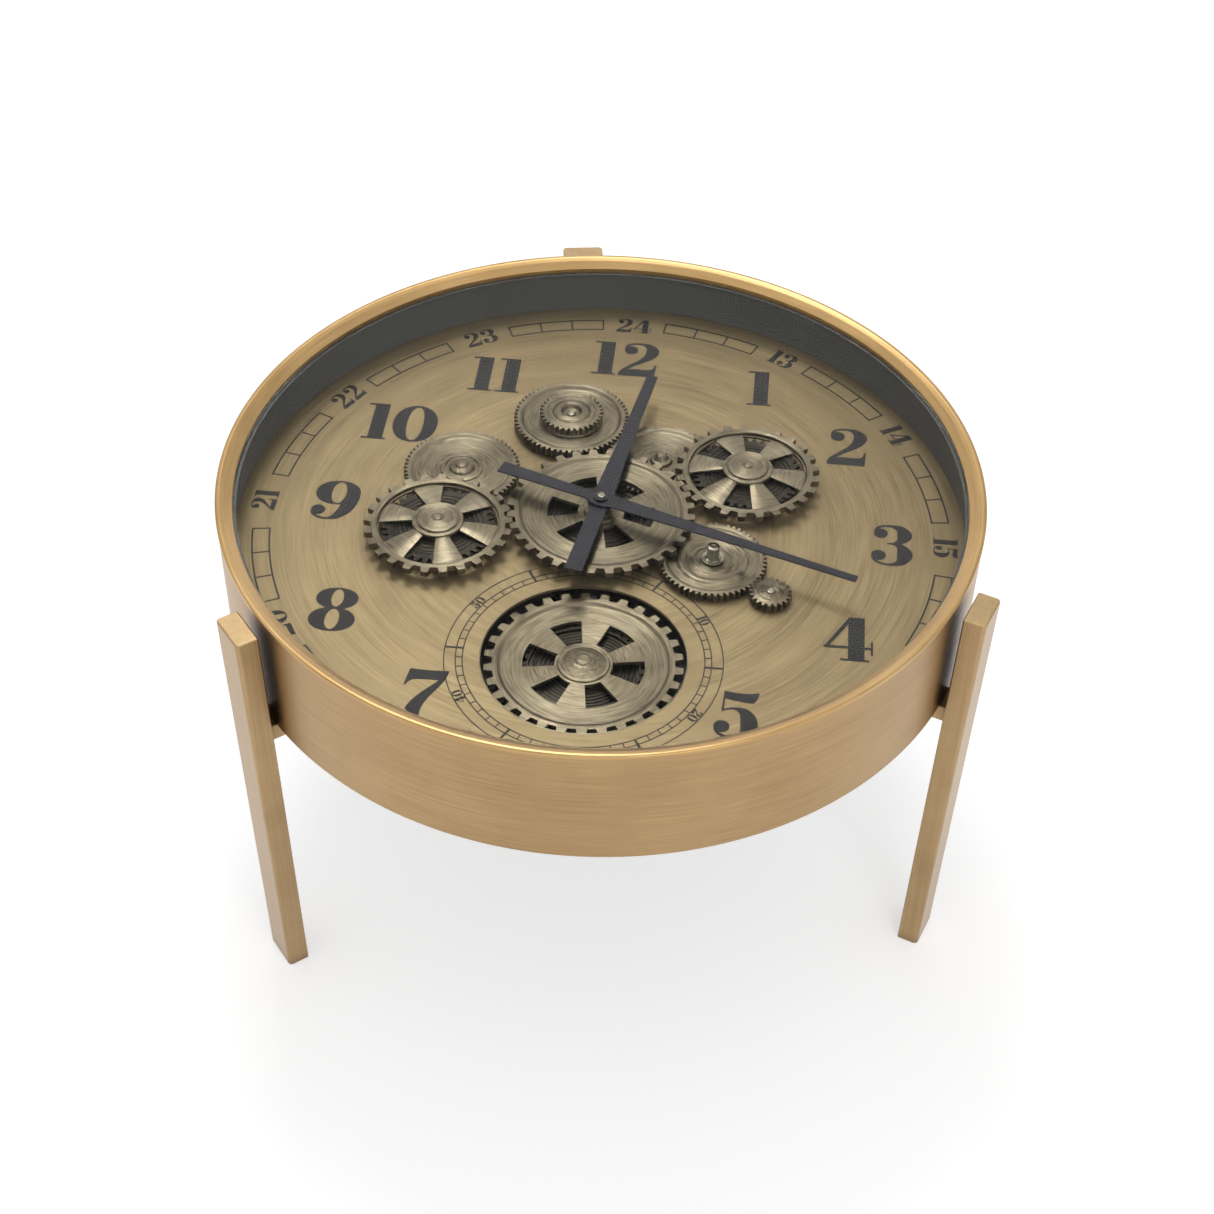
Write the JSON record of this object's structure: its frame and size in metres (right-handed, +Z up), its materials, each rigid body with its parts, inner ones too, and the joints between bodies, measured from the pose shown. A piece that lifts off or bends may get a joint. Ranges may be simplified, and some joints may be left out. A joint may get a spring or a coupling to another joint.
{
  "type": "clock table",
  "caption": "Low round drum-shaped table on flat-bar legs, with a glass top over a gear clock whose wheels, hands and sunken small dial all turn.",
  "frame": {"origin": "on the floor, under the middle of the table's outline", "axes": "+Z up, +Y towards the rear leg, +X to the right seen from the front"},
  "size_m": [0.586, 0.6096, 0.381],
  "materials": {
    "brass": "brushed antique gold lacquer",
    "dial": "circular-brushed pale gold with printed dark numerals and tracks",
    "glass": "clear polished",
    "liner": "matte dark grey",
    "base": "painted black fibreboard",
    "plate": "black painted",
    "wheel": "aged nickel-brass, brushed",
    "under_wheel": "dark aged nickel",
    "steel": "brushed",
    "screw": "zinc plated",
    "bright_brass": "machined",
    "hand": "matte black",
    "movement": "matte black",
    "cell": "plain wrapped cell"
  },
  "bodies": {
    "table": {"rim_bezel": "brass", "drum_wall": "brass", "inner_liner": "liner", "glass_top": "glass", "dial_plate": "dial", "base_plate": "base", "access_cover": "base", "cover_screw_1": "screw", "cover_screw_2": "screw", "pillar_1": "steel", "pillar_2": "steel", "pillar_3": "steel", "pillar_screw_1": "screw", "pillar_screw_2": "screw", "pillar_screw_3": "screw", "plate_spacer_1": "steel", "plate_spacer_2": "steel", "plate_spacer_3": "steel", "rear_leg": "brass", "rear_leg_screw": "screw", "left_leg": "brass", "left_leg_screw": "screw", "right_leg": "brass", "right_leg_screw": "screw", "movement_plate": "plate", "movement_nut": "bright_brass", "clock_movement": "movement", "clock_cell": "cell", "gear_motor": "steel", "battery_box": "movement", "box_cell_left": "cell", "box_cell_right": "cell", "left_post": "steel", "right_post": "steel", "upper_left_post": "steel", "upper_right_post": "steel", "top_post": "steel", "tall_post": "steel", "pinion_post": "steel"},
    "centre_wheels": {"centre_wheel": "wheel", "centre_disc_gear": "under_wheel", "centre_drive_gear": "under_wheel"},
    "left_wheels": {"left_spoked_wheel": "wheel", "left_under_gear": "under_wheel"},
    "right_wheels": {"right_spoked_wheel": "wheel", "right_under_gear": "under_wheel"},
    "upper_left": {"upper_left_wheel": "wheel"},
    "upper_right": {"upper_right_wheel": "wheel"},
    "top_wheels": {"top_wheel": "wheel", "top_small_wheel": "wheel"},
    "lower_right": {"lower_right_wheel": "wheel"},
    "pinion": {"small_pinion": "wheel"},
    "idler": {"idler_gear": "under_wheel"},
    "subdial_wheels": {"subdial_wheel": "wheel", "subdial_drive_gear": "under_wheel"},
    "drive_pinion": {"motor_pinion": "bright_brass"},
    "minute": {"minute_hand": "hand", "hand_nut": "steel"},
    "hour": {"hour_hand": "hand"},
    "knob": {"setting_knob": "movement"}
  },
  "joints": [
    {"name": "centre_turn", "type": "hinge", "parent": "table", "child": "centre_wheels", "pos_m": [0, -0.0118, 0.34], "axis": [0, 0, 1], "continuous": true},
    {"name": "left_turn", "type": "hinge", "parent": "table", "child": "left_wheels", "pos_m": [-0.12643, -0.02175, 0.34], "axis": [0, 0, 1], "continuous": true},
    {"name": "right_turn", "type": "hinge", "parent": "table", "child": "right_wheels", "pos_m": [0.11902, 0.03199, 0.34], "axis": [0, 0, 1], "continuous": true},
    {"name": "upper_left_turn", "type": "hinge", "parent": "table", "child": "upper_left", "pos_m": [-0.10791, 0.05093, 0.333], "axis": [0, 0, 1], "continuous": true},
    {"name": "upper_right_turn", "type": "hinge", "parent": "table", "child": "upper_right", "pos_m": [0.05195, 0.05371, 0.333], "axis": [0, 0, 1], "continuous": true},
    {"name": "top_turn", "type": "hinge", "parent": "table", "child": "top_wheels", "pos_m": [-0.01788, 0.10929, 0.333], "axis": [0, 0, 1], "continuous": true},
    {"name": "lower_right_turn", "type": "hinge", "parent": "table", "child": "lower_right", "pos_m": [0.08249, -0.06517, 0.333], "axis": [0, 0, 1], "continuous": true},
    {"name": "pinion_turn", "type": "hinge", "parent": "table", "child": "pinion", "pos_m": [0.12262, -0.10351, 0.333], "axis": [0, 0, 1], "continuous": true},
    {"name": "idler_turn", "type": "hinge", "parent": "table", "child": "idler", "pos_m": [-0.01018, -0.08611, 0.317], "axis": [0, 0, 1], "continuous": true},
    {"name": "subdial_turn", "type": "hinge", "parent": "table", "child": "subdial_wheels", "pos_m": [-0.02036, -0.16041, 0.32], "axis": [0, 0, 1], "continuous": true},
    {"name": "motor_turn", "type": "hinge", "parent": "table", "child": "drive_pinion", "pos_m": [-0.0498, 0.01695, 0.317], "axis": [0, 0, 1], "continuous": true},
    {"name": "minute_turn", "type": "hinge", "parent": "table", "child": "minute", "pos_m": [0, -0.0118, 0.354], "axis": [0, 0, 1], "continuous": true},
    {"name": "hour_turn", "type": "hinge", "parent": "table", "child": "hour", "pos_m": [0, -0.0118, 0.351], "axis": [0, 0, 1], "continuous": true},
    {"name": "knob_turn", "type": "hinge", "parent": "table", "child": "knob", "pos_m": [0, 0.0032, 0.286], "axis": [0, 0, 1], "continuous": true}
  ],
  "couplings": [
    {"joint": "left_turn", "follows": "centre_turn", "ratio": -1.28},
    {"joint": "right_turn", "follows": "centre_turn", "ratio": -1.28},
    {"joint": "upper_left_turn", "follows": "centre_turn", "ratio": 0.85333},
    {"joint": "upper_right_turn", "follows": "centre_turn", "ratio": 0.79448},
    {"joint": "top_turn", "follows": "centre_turn", "ratio": -0.75541},
    {"joint": "lower_right_turn", "follows": "centre_turn", "ratio": -1.4259},
    {"joint": "pinion_turn", "follows": "centre_turn", "ratio": 3.85},
    {"joint": "idler_turn", "follows": "centre_turn", "ratio": -1.5},
    {"joint": "subdial_turn", "follows": "centre_turn", "ratio": 1},
    {"joint": "motor_turn", "follows": "centre_turn", "ratio": -3.6},
    {"joint": "hour_turn", "follows": "minute_turn", "ratio": 0.083333},
    {"joint": "knob_turn", "follows": "minute_turn", "ratio": 1}
  ]
}
